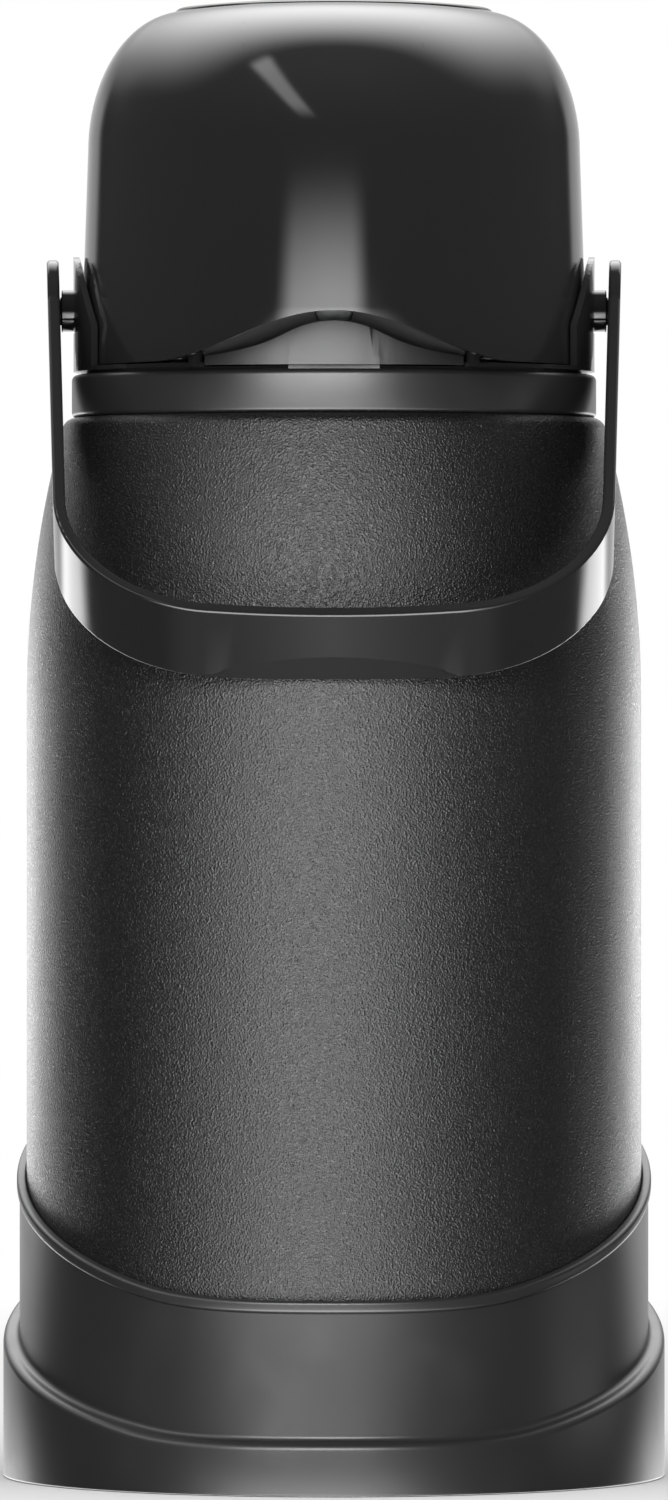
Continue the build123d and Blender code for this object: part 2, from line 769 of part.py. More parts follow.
# Outline of the hood from above: a circle behind, and a round nose that leaves the circle on each side
def hood_outline(width, beak):
    turn = radians(beak_angle)
    side_x = width * cos(turn)
    side_y = -width * sin(turn)
    pull = beak_side_pull * (beak + side_y)
    pull_x = side_x - pull * sin(turn)
    pull_y = side_y - pull * cos(turn)
    nose_x = beak_nose_pull * width
    with BuildLine() as outline:
        CenterArc((0, 0), width, -beak_angle, 180 + 2 * beak_angle)
        Bezier((side_x, side_y), (pull_x, pull_y), (nose_x, -beak), (0, -beak))
        Bezier((0, -beak), (-nose_x, -beak), (-pull_x, pull_y), (-side_x, side_y))
    make_face(outline.edges())


# The hood's form, drawn in by a wall thickness: straight wall, then an elliptical corner up to the flat top
def hood_form(inset):
    wall_rows = []
    for step in range(5):
        height = hood_bottom + (hood_corner_z - hood_bottom) * step / 4
        width, beak = wall_size(height)
        wall_rows.append((height, width - inset, beak - inset))
    corner_rows = []
    for step in range(7):
        turn = radians(90 * step / 6)
        corner_rows.append(
            (
                hood_corner_z + (hood_top - inset - hood_corner_z) * sin(turn),
                crown_radius + (hood_corner_radius - crown_radius - inset) * cos(turn),
                crown_beak_end + (beak_full - crown_beak_end - inset) * cos(turn),
            )
        )
    with BuildPart() as form:
        for rows in (wall_rows, corner_rows):
            for height, width, beak in rows:
                with BuildSketch(Plane.XY.offset(height)):
                    hood_outline(width, beak)
            loft()
    return form.part


hood_outside = hood_form(0)
hood_inside = hood_form(hood_wall)

# bosses for the head's screws, each tied to the wall by a rib that passes over the beak's floor
hood_rib_bottom = beak_floor_z + beak_floor_plate + free
with BuildPart() as hood_bosses:
    with BuildSketch(Plane.XY.offset(floor_plate_top)):
        with PolarLocations(hood_boss_circle, 4, start_angle=screw_spots):
            Circle(hood_boss_radius)
    extrude(amount=hood_boss_top - floor_plate_top)
    with BuildSketch(Plane.XY.offset(hood_rib_bottom)):
        with PolarLocations(hood_boss_circle + hood_rib_length / 2, 4, start_angle=screw_spots):
            Rectangle(hood_rib_length, hood_wall)
    extrude(amount=hood_boss_top - hood_rib_bottom)
    add(hood_outside, mode=Mode.INTERSECT)

with BuildPart() as hood_shell:
    add(hood_outside)
    add(hood_inside, mode=Mode.SUBTRACT)
    add(hood_bosses.part)
    with BuildSketch(Plane.XY.offset(hood_corner_z)):
        Circle(cup_bore)
    extrude(amount=reach, mode=Mode.SUBTRACT)
    with BuildSketch(Plane.XY.offset(floor_plate_top)):
        with PolarLocations(hood_boss_circle, 4, start_angle=screw_spots):
            Circle(hood_pilot_radius)
    extrude(amount=screw_length, mode=Mode.SUBTRACT)
    # the arched front edge
    with BuildSketch(Plane.XZ.offset(floor_step_y)):
        with BuildLine():
            arch_left = [(-x, hood_bottom + rise) for x, rise in reversed(arch_side)]
            arch_right = [(x, hood_bottom + rise) for x, rise in arch_side]
            arch = Spline(*arch_left, (0, hood_bottom + arch_rise), *arch_right)
            below = Vector(0, -overcut)
            Polyline(arch @ 1, arch @ 1 + below, arch @ 0 + below, arch @ 0)
        make_face()
    extrude(amount=reach, mode=Mode.SUBTRACT)
    # the notch round the hinge
    with BuildSketch(Plane.XZ.offset(-hood_radius + 4 * hood_wall)):
        with Locations((0, (hood_bottom + hinge_notch_top) / 2 - overcut)):
            RectangleRounded(
                2 * hinge_notch_half, hinge_notch_top - hood_bottom + 2 * overcut, hinge_notch_round
            )
    extrude(amount=-reach, mode=Mode.SUBTRACT)
keep(hood_shell.part, "hood_shell")

# Outlet pipe: up from the dip tube, forward under the pump, up into the beak and down to the spout
with BuildPart() as pipe_space:
    with BuildLine(Plane.YZ) as pipe_path:
        FilletPolyline(
            (0, pipe_foot),
            (0, pipe_low_z),
            (pipe_climb_start - spout_y, pipe_low_z),
            (pipe_climb_end - spout_y, pipe_high_z),
            (-spout_y, pipe_high_z),
            (-spout_y, pipe_end_z),
            radius=pipe_bend,
        )
    with BuildSketch(Plane.XY.offset(pipe_foot)):
        Circle(pipe_radius + free)
    sweep(path=pipe_path.line)

with BuildPart() as pipe_hole:
    with BuildLine(Plane.YZ) as hole_path:
        add(pipe_path.line)
    with BuildSketch(Plane.XY.offset(pipe_foot)):
        Circle(pipe_bore)
    sweep(path=hole_path.line)

with BuildPart() as outlet_pipe:
    with BuildLine(Plane.YZ) as wall_path:
        add(pipe_path.line)
    with BuildSketch(Plane.XY.offset(pipe_foot)):
        Circle(pipe_radius)
    sweep(path=wall_path.line)
    with BuildSketch(Plane.XY.offset(pipe_foot)):
        Circle(tube_collar_radius)
    extrude(amount=pipe_flange_height)
    add(pipe_hole.part, mode=Mode.SUBTRACT)
keep(outlet_pipe.part, "outlet_pipe")

# Spout nozzle: a tapering mouth pushed over the pipe's end
with BuildPart() as spout_nozzle:
    with BuildSketch(Plane.XY.offset(pipe_end_z + nozzle_socket_depth)):
        with Locations((0, -spout_y)):
            Circle(pipe_radius + slip + nozzle_wall)
    extrude(amount=nozzle_bottom - pipe_end_z - nozzle_socket_depth, taper=nozzle_taper)
    with BuildSketch(Plane.XY.offset(pipe_end_z)):
        with Locations((0, -spout_y)):
            Circle(pipe_radius + slip)
    extrude(amount=nozzle_socket_depth, mode=Mode.SUBTRACT)
    with BuildSketch(Plane.XY.offset(nozzle_bottom)):
        with Locations((0, -spout_y)):
            Circle(nozzle_mouth)
    extrude(amount=pipe_end_z - nozzle_bottom, mode=Mode.SUBTRACT)
keep(spout_nozzle.part, "spout_nozzle")

# Floor of the head: plate, step up to the beak's floor, seal ring, keeper and hinge barrel
floor_width, floor_beak = wall_size(floor_bottom)
floor_inset = hood_wall + free
with BuildPart() as head_floor:
    # plate behind the step
    with BuildSketch(Plane.XY.offset(floor_bottom)):
        hood_outline(floor_width - floor_inset, floor_beak - floor_inset)
        with Locations((0, -floor_step_y - reach / 2)):
            Rectangle(2 * reach, reach, mode=Mode.SUBTRACT)
    extrude(amount=floor_plate)
    # the step and the beak's floor
    with BuildSketch(Plane.XY.offset(floor_bottom)):
        hood_outline(floor_width - floor_inset - beak_floor_inset, floor_beak - floor_inset)
        with Locations((0, -floor_step_y + floor_plate)):
            Rectangle(2 * reach, 2 * floor_plate, align=(Align.CENTER, Align.MAX), mode=Mode.INTERSECT)
        with Locations((0, -floor_step_y - reach / 2)):
            Rectangle(2 * reach, reach, mode=Mode.SUBTRACT)
    extrude(amount=beak_floor_z + beak_floor_plate - floor_bottom)
    with BuildSketch(Plane.XY.offset(beak_floor_z)):
        hood_outline(floor_width - floor_inset - beak_floor_inset, floor_beak - floor_inset)
        with Locations((0, reach - floor_step_y + floor_plate)):
            Rectangle(2 * reach, 2 * reach, mode=Mode.SUBTRACT)
    extrude(amount=beak_floor_plate)
    # ring that holds the mouth seal
    with BuildSketch(Plane.XY.offset(floor_bottom)):
        Circle(mouth_outside + 2 * free + seal_ring_wall)
        Circle(mouth_outside + 2 * free, mode=Mode.SUBTRACT)
    extrude(amount=-(floor_bottom - lip_bottom))
    # keeper for the tab's nose
    with Locations((0, -keeper_y, keeper_bottom)):
        Box(
            2 * keeper_half_width,
            floor_step_y - keeper_y,
            floor_bottom - keeper_bottom + floor_plate / 2,
            align=(Align.CENTER, Align.MAX, Align.MIN),
        )
    # arm and barrel of the hinge
    with BuildSketch(Plane.YZ):
        with Locations((hinge_y, hinge_z)):
            Circle(barrel_radius)
        with BuildLine():
            Polyline(
                (hinge_arm_start, floor_bottom),
                (hinge_arm_start, floor_plate_top + floor_plate),
                (hinge_y, hinge_z + barrel_radius),
                (hinge_y, floor_bottom),
                close=True,
            )
        make_face()
        with Locations((hinge_y, hinge_z)):
            Circle(hinge_pin_radius + running, mode=Mode.SUBTRACT)
    extrude(amount=lug_inside - free, both=True)
    # holes: pipe foot, air port, screws, nozzle and the pipe's way up
    with BuildSketch(Plane.XY.offset(floor_bottom)):
        Circle(tube_collar_radius + slip)
        with Locations((0, air_port_y)):
            Circle(air_port_radius)
        with PolarLocations(hood_boss_circle, 4, start_angle=screw_spots):
            Circle(screw_radius + slip)
    extrude(amount=floor_plate, mode=Mode.SUBTRACT)
    with BuildSketch(Plane.XY.offset(beak_floor_z)):
        with Locations((0, -spout_y)):
            Circle(pipe_radius + 2 * slip + nozzle_wall)
    extrude(amount=beak_floor_plate, mode=Mode.SUBTRACT)
    add(pipe_space.part, mode=Mode.SUBTRACT)
keep(head_floor.part, "head_floor")

head_screws = screw_group(
    hood_boss_circle,
    floor_bottom,
    1,
    screw_length,
    hood_screw_radius,
    screw_head_radius,
    hood_screw_head_height,
)
keep(head_screws, "head_screws")

with BuildPart() as mouth_seal:
    with BuildSketch(Plane.XY.offset(floor_bottom)):
        Circle(mouth_outside + free)
        Circle(inner_bulb_neck, mode=Mode.SUBTRACT)
    extrude(amount=holder_top + 2 * slip - floor_bottom)
    chamfer(edges().group_by(Axis.Z)[0], seal_chamfer)
keep(mouth_seal.part, "mouth_seal")

with BuildPart() as hinge_pin:
    with BuildSketch(Plane.YZ):
        with Locations((hinge_y, hinge_z)):
            Circle(hinge_pin_radius)
    extrude(amount=lug_inside + lug_width + pin_overhang, both=True)
    chamfer(edges().filter_by(GeomType.CIRCLE), pin_chamfer)
keep(hinge_pin.part, "hinge_pin")

# Pump cup: deck for the bellows, guide wall for the button, and a skirt that stands on the floor
with BuildPart() as pump_cup:
    with BuildSketch(Plane.XY.offset(deck_z)):
        Circle(cup_bore + cup_wall)
    extrude(amount=cup_top - deck_z)
    with BuildSketch(Plane.XY.offset(pump_deck_top)):
        Circle(cup_bore)
    extrude(amount=cup_top - pump_deck_top, mode=Mode.SUBTRACT)
    with BuildSketch(Plane.XY.offset(deck_z)):
        Circle(cup_skirt_radius)
        Circle(cup_skirt_radius - cup_skirt_wall, mode=Mode.SUBTRACT)
    extrude(amount=floor_plate_top - deck_z)
    with BuildSketch(Plane.XY.offset(pump_deck_top)):
        Circle(spring_radius - spring_wire / 2 - free)
        Circle(spring_radius - spring_wire / 2 - free - cup_skirt_wall, mode=Mode.SUBTRACT)
    extrude(amount=2 * spring_wire)
    with BuildSketch(Plane.XY.offset(deck_z)):
        with Locations((0, air_port_y)):
            Circle(air_port_radius)
    extrude(amount=pump_deck_thickness + 2 * spring_wire, mode=Mode.SUBTRACT)
    add(pipe_space.part, mode=Mode.SUBTRACT)
keep(pump_cup.part, "pump_cup")

with BuildPart() as air_valve_flap:
    with BuildSketch(Plane.XY.offset(deck_z)):
        with Locations((0, air_port_y)):
            Circle(flap_radius)
    extrude(amount=-flap_thickness)
keep(air_valve_flap.part, "air_valve_flap")

# Push button: a crowned cap with a skirt and a ring that centres the spring
with BuildPart() as push_button:
    with BuildSketch(Plane.XZ):
        with BuildLine():
            crown = TangentArc((0, button_top), (button_radius, button_edge), tangent=(1, 0))
            Polyline(
                crown @ 1,
                (button_radius, button_skirt_bottom),
                (button_radius - button_skirt_wall, button_skirt_bottom),
                (button_radius - button_skirt_wall, button_underside),
                (0, button_underside),
                (0, button_top),
            )
        make_face()
        fillet(vertices().sort_by_distance((button_radius, button_edge))[0], button_edge_round)
    revolve(axis=Axis.Z)
    with BuildSketch(Plane.XY.offset(button_underside)):
        Circle(spring_radius - spring_wire / 2 - free)
        Circle(spring_radius - spring_wire / 2 - free - button_skirt_wall, mode=Mode.SUBTRACT)
    extrude(amount=-2 * spring_wire)
keep(push_button.part, "push_button")

# Bellows: a thin folded wall between the deck and the button
fold_height = (button_underside - pump_deck_top) / (2 * bellows_folds)
outside_wall = []
inside_wall = []
for fold in range(2 * bellows_folds + 1):
    crest = bellows_radius if fold % 2 == 0 else bellows_radius - bellows_fold
    outside_wall.append((crest, pump_deck_top + fold * fold_height))
    inside_wall.append((crest - bellows_wall, pump_deck_top + fold * fold_height))
with BuildPart() as pump_bellows:
    with BuildSketch(Plane.XZ):
        with BuildLine():
            Polyline(*outside_wall, *reversed(inside_wall), close=True)
        make_face()
    revolve(axis=Axis.Z)
keep(pump_bellows.part, "pump_bellows")


# One unbroken coil of wire round a plane's axis: a pair of arcs for each half turn
def coil(plane, radius, wire, length, turns):
    rise = (length - wire) / turns
    slope = Vector(0, radius, rise / (2 * pi)).normalized()
    spots = []
    for half in range(2 * turns + 1):
        turn = pi * half
        spot = Vector(radius * cos(turn), radius * sin(turn), wire / 2 + rise * half / 2)
        heading = Vector(-slope.Y * sin(turn), slope.Y * cos(turn), slope.Z)
        spots.append((spot, heading))
    with BuildPart() as form:
        with BuildLine() as centre_line:
            for (first, out), (last, back) in zip(spots, spots[1:]):
                chord = last - first
                both = out + back
                spread = 2 * (1 - out.dot(back))
                along = chord.dot(both)
                arm = (sqrt(along**2 + spread * chord.dot(chord)) - along) / spread
                middle = (first + out * arm + last - back * arm) / 2
                TangentArc(first, middle, tangent=out)
                TangentArc(middle, last, tangent=(last - back * arm) - (first + out * arm))
        start_plane = Plane(centre_line.line @ 0, z_dir=centre_line.line % 0)
        with BuildSketch(start_plane):
            RegularPolygon(wire / 2, wire_sides)
        sweep(path=centre_line.line)
    spots_on_line = [centre_line.line @ (i / (24 * turns)) for i in range(24 * turns + 1)]
    gaps = [
        (spots_on_line[i] - spots_on_line[j]).length
        for i in range(len(spots_on_line))
        for j in range(i + 16, len(spots_on_line))
    ]
    print("least gap between the turns of a coil:", round(min(gaps) - wire, 2), "mm")
    return form.part.moved(plane.location)


return_spring = coil(
    Plane.XY.offset(pump_deck_top), spring_radius, spring_wire, button_underside - pump_deck_top, spring_turns
)
keep(return_spring, "return_spring")

# Release tab: a bell-shaped wall with a stem under the lip and a nose behind the keeper
with BuildPart() as release_tab:
    with BuildSketch(Plane.XY.offset(tab_bottom)):
        Circle(ear_radius)
        Circle(ear_inside, mode=Mode.SUBTRACT)
    extrude(amount=tab_rise + overcut)
    with BuildSketch(Plane.XZ):
        with BuildLine():
            tab_right = [(x, lip_bottom + rise) for x, rise in [*tab_side, (tab_half_width, tab_end_rise)]]
            tab_left = [(-x, z) for x, z in reversed(tab_right)]
            bell = Spline(*tab_left, (0, lip_bottom + tab_rise), *tab_right)
            Polyline(bell @ 1, (tab_half_width, tab_bottom), (-tab_half_width, tab_bottom), bell @ 0)
        make_face()
    extrude(amount=reach, mode=Mode.INTERSECT)
    with BuildSketch(Plane.YZ):
        with BuildLine():
            Polyline(
                (-ear_radius + ear_thickness / 2, tab_bottom),
                (-ear_radius + ear_thickness / 2, tab_bottom + stem_thickness),
                (-stem_front + stem_thickness, tab_bottom + stem_thickness),
                (-stem_front + stem_thickness, stem_bottom + stem_thickness),
                (-nose_front, stem_bottom + stem_thickness),
                (-nose_front, nose_top),
                (-nose_back, nose_top),
                (-nose_back, stem_bottom),
                (-stem_front, stem_bottom),
                (-stem_front, tab_bottom),
                close=True,
            )
        make_face()
    extrude(amount=stem_half_width, both=True)
    with BuildSketch(Plane.XZ.offset(nose_back)):
        with Locations((0, tab_spring_z)):
            Circle(tab_spring_radius - tab_spring_wire / 2 - slip)
    extrude(amount=-2 * tab_spring_wire)
keep(release_tab.part, "release_tab")

tab_spring = coil(
    Plane((0, -nose_back, tab_spring_z), x_dir=(1, 0, 0), z_dir=(0, 1, 0)),
    tab_spring_radius,
    tab_spring_wire,
    nose_back - mouth_outside - tab_travel - free,
    tab_spring_turns,
)
keep(tab_spring, "tab_spring")


# The grip's arc turns just far enough for the arms to meet the pivots
lean = radians(bail_lean)
corner_reach = (
    pivot_end
    + bail_gap
    - bail_corner_radius * cos(lean)
    - (bail_drop - bail_grip_radius + bail_corner_radius * sin(lean)) * tan(lean)
)
grip_turn = asin(corner_reach * cos(lean) / (bail_grip_radius - bail_corner_radius)) - lean


# The bail's outline in its own plane, grown outward from its inside: arms, round corners and a long arc
def bail_line(grow):
    grip = bail_grip_radius + grow
    grip_centre = bail_drop - bail_grip_radius
    end = Vector(grip * sin(grip_turn), grip_centre + grip * cos(grip_turn))
    corner = bail_corner_radius + grow
    corner_centre = Vector(end.X - corner * sin(grip_turn), end.Y - corner * cos(grip_turn))
    arm = Vector(corner_centre.X + corner * cos(lean), corner_centre.Y + corner * sin(lean))
    middle_turn = (lean + pi / 2 - grip_turn) / 2
    middle = Vector(corner_centre.X + corner * cos(middle_turn), corner_centre.Y + corner * sin(middle_turn))
    above_eye = bail_eye_radius + overcut
    top = Vector(arm.X + (arm.Y + above_eye) * tan(lean), -above_eye)
    ThreePointArc((-end.X, end.Y), (0, grip_centre + grip), (end.X, end.Y))
    for side in (1, -1):
        ThreePointArc((side * end.X, end.Y), (side * middle.X, middle.Y), (side * arm.X, arm.Y))
        Line((side * arm.X, arm.Y), (side * top.X, top.Y))
    return top


# Hanging in front, the bail leans until the rear edge of its grip is at the sleeve
tilt = asin((sleeve_radius + bail_rest_gap) / sqrt(bail_drop**2 + bail_grip_half_width**2)) + atan(
    bail_grip_half_width / bail_drop
)
bail_plane = Plane((0, 0, pivot_z), x_dir=(1, 0, 0), z_dir=(0, cos(tilt), -sin(tilt)))
bail_side = Plane((0, 0, pivot_z), x_dir=bail_plane.z_dir, z_dir=(-1, 0, 0))
scoop_turn = atan(scoop_depth / scoop_width)
scoop_plane = Plane(
    bail_plane.origin
    + bail_plane.y_dir * (bail_drop + bail_thickness)
    + bail_plane.z_dir * (bail_grip_half_width - scoop_width),
    x_dir=(1, 0, 0),
    z_dir=bail_plane.z_dir * cos(scoop_turn) - bail_plane.y_dir * sin(scoop_turn),
)
scoop_end = Vector(pivot_end, -(pivot_end**2) / (2 * scoop_radius))

with BuildPart() as bail_handle:
    with BuildSketch(bail_plane):
        with BuildLine():
            inner_top = bail_line(0)
            outer_top = bail_line(bail_thickness)
            for side in (1, -1):
                Line((side * inner_top.X, inner_top.Y), (side * outer_top.X, outer_top.Y))
        make_face()
    extrude(amount=2 * bail_grip_half_width, both=True)
    with BuildSketch(bail_side):
        Circle(bail_eye_radius)
        with BuildLine():
            Polyline(
                (-bail_arm_half_width, 0),
                (-bail_arm_half_width, bail_drop * bail_taper_start),
                (-bail_grip_half_width, bail_drop * bail_taper_end),
                (-bail_grip_half_width, bail_drop + 2 * bail_thickness),
                (bail_grip_half_width, bail_drop + 2 * bail_thickness),
                (bail_grip_half_width, bail_drop * bail_taper_end),
                (bail_arm_half_width, bail_drop * bail_taper_start),
                (bail_arm_half_width, 0),
                close=True,
            )
        make_face()
    extrude(amount=reach, both=True, mode=Mode.INTERSECT)
    fillet(edges().filter_by(lambda e: e.length > 2 * bail_thickness), bail_edge_round)
    with BuildSketch(scoop_plane):
        with BuildLine():
            dip = ThreePointArc((-scoop_end.X, scoop_end.Y), (0, 0), (scoop_end.X, scoop_end.Y))
            Polyline(dip @ 1, (scoop_end.X, overcut), (-scoop_end.X, overcut), dip @ 0)
        make_face()
    extrude(amount=2 * scoop_width, mode=Mode.SUBTRACT)
    with Locations((0, 0, pivot_z)):
        Cylinder(stem_radius + running, 2 * (stem_end + free), rotation=(0, 90, 0), mode=Mode.SUBTRACT)
keep(bail_handle.part, "bail_handle")
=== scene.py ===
import json
from math import atan, cos, pi, radians, sin, sqrt, tan

import bmesh
import bpy
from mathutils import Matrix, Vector


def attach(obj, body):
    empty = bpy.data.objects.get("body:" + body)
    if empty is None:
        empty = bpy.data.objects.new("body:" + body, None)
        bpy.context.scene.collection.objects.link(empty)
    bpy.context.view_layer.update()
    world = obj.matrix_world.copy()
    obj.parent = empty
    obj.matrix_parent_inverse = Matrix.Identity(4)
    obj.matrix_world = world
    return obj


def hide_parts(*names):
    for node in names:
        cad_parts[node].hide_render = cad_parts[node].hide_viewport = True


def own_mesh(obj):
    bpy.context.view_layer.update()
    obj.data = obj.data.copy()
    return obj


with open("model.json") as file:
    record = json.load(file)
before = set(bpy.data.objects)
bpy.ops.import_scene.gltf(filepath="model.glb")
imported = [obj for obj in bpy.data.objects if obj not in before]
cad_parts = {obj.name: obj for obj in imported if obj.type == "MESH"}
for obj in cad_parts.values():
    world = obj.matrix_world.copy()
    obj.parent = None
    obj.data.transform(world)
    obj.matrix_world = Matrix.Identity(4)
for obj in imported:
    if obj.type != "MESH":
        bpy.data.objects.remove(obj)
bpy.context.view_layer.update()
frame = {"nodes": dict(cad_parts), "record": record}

# A pump carafe with a push button in its hinged hood, a release tab and a swinging bail.
# Sizes in the pieces' dictionaries are millimetres; every mesh is scaled to metres when it is finished.

mm = 0.001
scene = bpy.context.scene
scene.view_settings.view_transform = "Standard"


# Shader maths

class Wire:  # one socket of a material, with Python's operators on it
    def __init__(self, finish, socket):
        self.finish = finish
        self.socket = socket

    def maths(self, operation, first, second):
        return self.finish.node("ShaderNodeMath", {"operation": operation}, [first, second])

    def __add__(self, other):
        return self.maths("ADD", self, other)

    def __sub__(self, other):
        return self.maths("SUBTRACT", self, other)

    def __rsub__(self, other):
        return self.maths("SUBTRACT", other, self)

    def __mul__(self, other):
        return self.maths("MULTIPLY", self, other)

    def __abs__(self):
        return self.maths("ABSOLUTE", self, 0.0)


class Finish:  # a material, or the world, and the nodes that make it
    def __init__(self, name, world=None):
        self.material = world or bpy.data.materials.new(name)
        self.material.use_nodes = True
        self.tree = self.material.node_tree
        self.tree.nodes.clear()

    def node(self, kind, settings, sockets, output=0):
        made = self.tree.nodes.new(kind)
        for key, value in settings.items():
            setattr(made, key, value)
        pairs = sockets.items() if isinstance(sockets, dict) else enumerate(sockets)
        for key, value in pairs:
            if isinstance(value, Wire):
                self.tree.links.new(value.socket, made.inputs[key])
            else:
                made.inputs[key].default_value = value
        return Wire(self, made.outputs[output]) if made.outputs else None

    def place(self):
        return self.node("ShaderNodeTexCoord", {}, {}, "Object")

    def rays(self, *kinds):  # one wire for each kind of light ray, 1 where it is one
        made = self.tree.nodes.new("ShaderNodeLightPath")
        return [Wire(self, made.outputs[kind]) for kind in kinds]

    def noise(self, scale, detail, roughness=0.5):
        sockets = {"Vector": self.place(), "Scale": scale, "Detail": detail, "Roughness": roughness}
        return self.node("ShaderNodeTexNoise", {}, sockets, "Fac")

    def cells(self, scale):
        sockets = {"Vector": self.place(), "Scale": scale}
        return self.node("ShaderNodeTexVoronoi", {"feature": "F1"}, sockets, "Distance")

    def ramp(self, wire, low, high):  # 0 below low, 1 above high, smooth between
        sockets = {"Value": wire, "From Min": low, "From Max": high}
        return self.node("ShaderNodeMapRange", {"interpolation_type": "SMOOTHSTEP"}, sockets, "Result")

    def mix(self, share, first, second):
        return self.node("ShaderNodeMix", {"data_type": "RGBA"}, {0: share, 6: first, 7: second}, 2)

    def bump(self, height, depth):
        sockets = {"Height": height, "Strength": 1.0, "Distance": depth}
        return self.node("ShaderNodeBump", {}, sockets, "Normal")

    def surface(self, **sockets):
        named = {key.replace("_", " "): value for key, value in sockets.items()}
        shader = self.node("ShaderNodeBsdfPrincipled", {}, named)
        self.node("ShaderNodeOutputMaterial", {}, {"Surface": shader})
        return self.material


def grey(value):
    return (value, value, value, 1.0)


# Finishes: a noise is its scale and detail, pale and dark are shares of the tone, depths are metres

gloss = {
    "drift": (14.0, 2.0), "driftPale": 0.7, "dust": 420.0, "dustSpan": (0.07, 0.02), "dustPale": 0.3,
    "dustRough": 0.12, "haze": (160.0, 3.0), "hazeRough": 0.05, "pale": 1.35, "sink": (22.0, 1.0),
    "depth": 0.00012,
}


def glossPlastic(name, tone, sheen):
    look = gloss
    finish = Finish(name)
    drift = finish.noise(*look["drift"])
    haze = finish.noise(*look["haze"])
    sink = finish.noise(*look["sink"])
    dust = finish.ramp(finish.cells(look["dust"]), *look["dustSpan"])
    paleness = drift * look["driftPale"] + dust * look["dustPale"]
    return finish.surface(
        Base_Color=finish.mix(paleness, grey(tone), grey(tone * look["pale"])),
        Roughness=haze * look["hazeRough"] + dust * look["dustRough"] + sheen,
        Normal=finish.bump(sink, look["depth"]),
    )


satin = {
    "drift": (9.0, 3.0), "driftPale": 0.6, "spark": (2600.0, 2.0), "sparkPale": 0.4, "sparkRough": 0.08,
    "rub": (55.0, 4.0), "rubSpan": (0.45, 0.75), "rubRough": 0.05, "dark": 0.88, "pale": 1.12, "ior": 1.6,
    "depth": 0.000012,
}


def satinPlastic(name, tone, roughness):
    look = satin
    finish = Finish(name)
    drift = finish.noise(*look["drift"])
    spark = finish.noise(*look["spark"])
    rub = finish.ramp(finish.noise(*look["rub"]), *look["rubSpan"])
    paleness = drift * look["driftPale"] + spark * look["sparkPale"]
    return finish.surface(
        Base_Color=finish.mix(paleness, grey(tone * look["dark"]), grey(tone * look["pale"])),
        Roughness=spark * look["sparkRough"] + rub * look["rubRough"] + roughness,
        IOR=look["ior"],
        Normal=finish.bump(spark, look["depth"]),
    )


powder = {
    "wrinkle": (1900.0, 2.0, 0.6), "wrinkleShare": 0.75, "pits": 2100.0, "pitShare": 0.5, "cloud": (7.0, 3.0),
    "crest": (0.5, 0.85), "crestPale": 0.8, "cloudPale": 0.2, "dark": 0.4, "pale": 2.2, "roughness": 0.36,
    "crestSmooth": 0.1, "ior": 1.5, "depth": 0.00027,
}


def powderCoat(name, tone):
    look = powder
    finish = Finish(name)
    wrinkle = finish.noise(*look["wrinkle"])
    pits = finish.cells(look["pits"])
    cloud = finish.noise(*look["cloud"])
    relief = wrinkle * look["wrinkleShare"] + pits * look["pitShare"]
    crest = finish.ramp(relief, *look["crest"])
    paleness = crest * look["crestPale"] + cloud * look["cloudPale"]
    return finish.surface(
        Base_Color=finish.mix(paleness, grey(tone * look["dark"]), grey(tone * look["pale"])),
        Roughness=look["roughness"] - crest * look["crestSmooth"],
        IOR=look["ior"],
        Normal=finish.bump(relief, look["depth"]),
    )


rubber = {
    "bloom": (60.0, 4.0), "skin": (1800.0, 2.0), "dark": 0.8, "pale": 1.25, "roughness": 0.55,
    "bloomRough": 0.2, "depth": 0.00003,
}


def softRubber(name, tone):
    look = rubber
    finish = Finish(name)
    bloom = finish.noise(*look["bloom"])
    skin = finish.noise(*look["skin"])
    return finish.surface(
        Base_Color=finish.mix(bloom, grey(tone * look["dark"]), grey(tone * look["pale"])),
        Roughness=bloom * look["bloomRough"] + look["roughness"],
        Normal=finish.bump(skin, look["depth"]),
    )


steel = {
    "stretch": (1.0, 1.0, 12.0), "scale": 900.0, "detail": 2.0, "dark": 0.42, "pale": 0.66,
    "roughness": 0.2, "lineRough": 0.2, "depth": 0.00001,
}


def drawnSteel(name):
    look = steel
    finish = Finish(name)
    stretch = finish.node("ShaderNodeMapping", {}, {"Vector": finish.place(), "Scale": look["stretch"]})
    sockets = {"Vector": stretch, "Scale": look["scale"], "Detail": look["detail"]}
    lines = finish.node("ShaderNodeTexNoise", {}, sockets, "Fac")
    return finish.surface(
        Base_Color=finish.mix(lines, grey(look["dark"]), grey(look["pale"])),
        Metallic=1.0,
        Roughness=lines * look["lineRough"] + look["roughness"],
        Normal=finish.bump(lines, look["depth"]),
    )


milky = {
    "flow": (45.0, 3.0), "dark": (0.62, 0.65, 0.66, 1.0), "pale": (0.76, 0.78, 0.78, 1.0), "roughness": 0.25,
    "flowRough": 0.12, "murk": 0.4, "murkDepth": 0.004, "depth": 0.00004,
}


def milkyPlastic(name):
    look = milky
    finish = Finish(name)
    flow = finish.noise(*look["flow"])
    return finish.surface(
        Base_Color=finish.mix(flow, look["dark"], look["pale"]),
        Roughness=flow * look["flowRough"] + look["roughness"],
        Subsurface_Weight=look["murk"],
        Subsurface_Radius=[look["murkDepth"]] * 3,
        Normal=finish.bump(flow, look["depth"]),
    )


glass = {
    "wave": (30.0, 2.0), "film": (500.0, 3.0), "dark": (0.72, 0.73, 0.75, 1.0),
    "pale": (0.86, 0.87, 0.88, 1.0), "metallic": 0.9, "roughness": 0.05, "filmRough": 0.06, "coat": 0.6,
    "depth": 0.0002,
}


